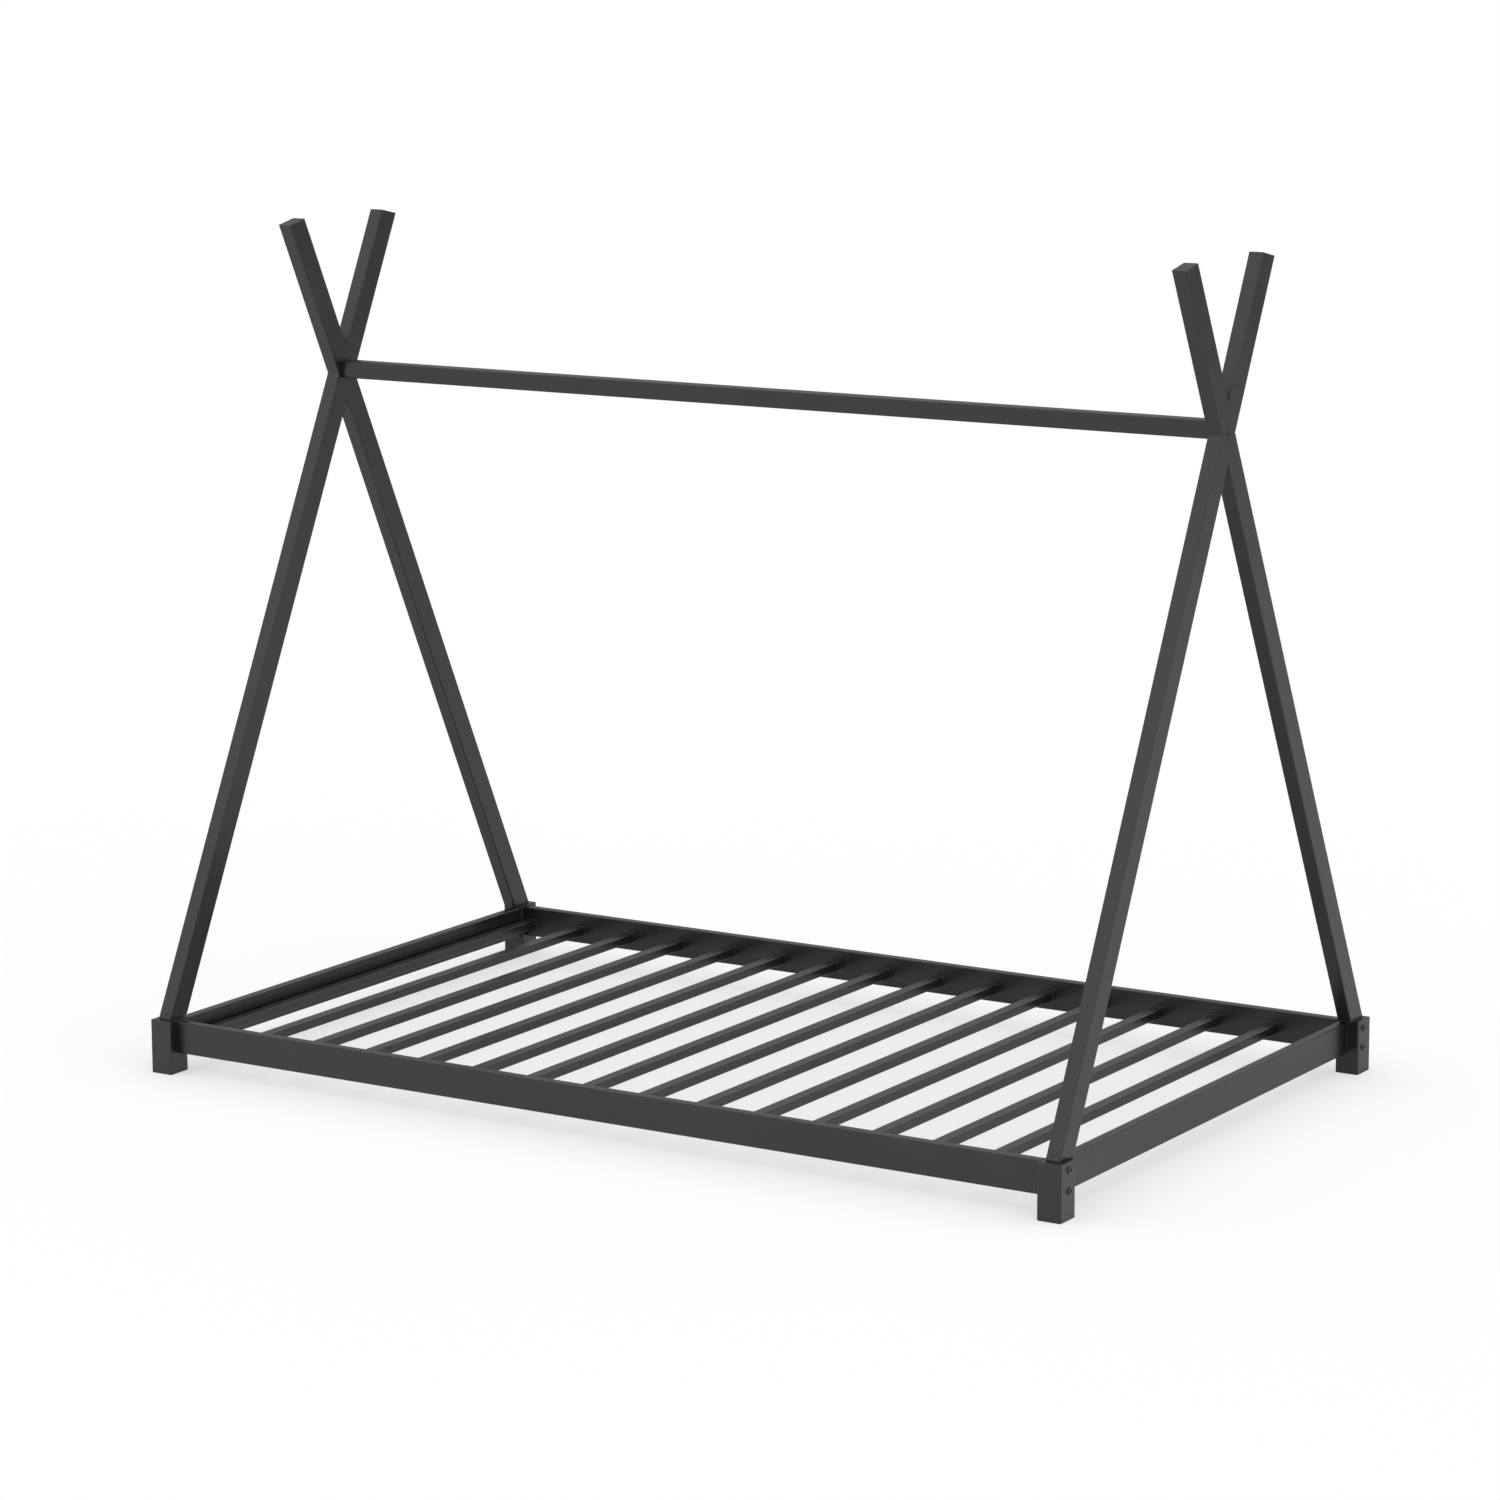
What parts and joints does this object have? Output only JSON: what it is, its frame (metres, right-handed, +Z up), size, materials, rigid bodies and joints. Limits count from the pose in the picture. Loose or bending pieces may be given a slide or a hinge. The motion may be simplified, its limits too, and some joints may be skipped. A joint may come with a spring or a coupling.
{
  "type": "metal bed frame",
  "caption": "Low slatted bed frame in square and rectangular steel tube, with crossed poles at both ends that carry a ridge bar, like a tent.",
  "frame": {"origin": "on the floor, under the centre of the bed", "axes": "+X along the length of the bed, -Y the front long side, +Z up"},
  "size_m": [2.108, 1.3, 1.6941],
  "materials": {
    "frame_coating": "near-black satin powder coat on steel tube",
    "plastic_caps": "black moulded plastic, fine matt texture",
    "fasteners": "blackened steel, satin, with a hexagon socket",
    "hidden_steel": "zinc-plated steel inside the tubes"
  },
  "bodies": {
    "root": {"leg_front_left": "frame_coating", "foot_cap_front_left": "plastic_caps", "pole_spigot_front_left": "frame_coating", "lower_pole_front_left": "frame_coating", "upper_pole_front_left": "frame_coating", "pole_cap_front_left": "plastic_caps", "leg_front_right": "frame_coating", "foot_cap_front_right": "plastic_caps", "pole_spigot_front_right": "frame_coating", "lower_pole_front_right": "frame_coating", "upper_pole_front_right": "frame_coating", "pole_cap_front_right": "plastic_caps", "leg_back_left": "frame_coating", "foot_cap_back_left": "plastic_caps", "pole_spigot_back_left": "frame_coating", "lower_pole_back_left": "frame_coating", "upper_pole_back_left": "frame_coating", "pole_cap_back_left": "plastic_caps", "leg_back_right": "frame_coating", "foot_cap_back_right": "plastic_caps", "pole_spigot_back_right": "frame_coating", "lower_pole_back_right": "frame_coating", "upper_pole_back_right": "frame_coating", "pole_cap_back_right": "plastic_caps", "side_rail_front": "frame_coating", "side_rail_back": "frame_coating", "end_rail_left": "frame_coating", "crossing_core_left": "hidden_steel", "end_rail_right": "frame_coating", "crossing_core_right": "hidden_steel", "slat_01": "frame_coating", "slat_02": "frame_coating", "slat_03": "frame_coating", "slat_04": "frame_coating", "slat_05": "frame_coating", "slat_06": "frame_coating", "slat_07": "frame_coating", "slat_08": "frame_coating", "slat_09": "frame_coating", "slat_10": "frame_coating", "slat_11": "frame_coating", "slat_12": "frame_coating", "slat_13": "frame_coating", "slat_14": "frame_coating", "slat_15": "frame_coating", "slat_16": "frame_coating", "ridge_bar": "frame_coating", "ridge_bar_nut_plates": "hidden_steel", "ridge_bolts": "fasteners", "side_rail_nut_plates": "hidden_steel", "side_rail_bolts": "fasteners", "pole_foot_screws": "fasteners", "pole_seats": "plastic_caps"}
  },
  "joints": []
}
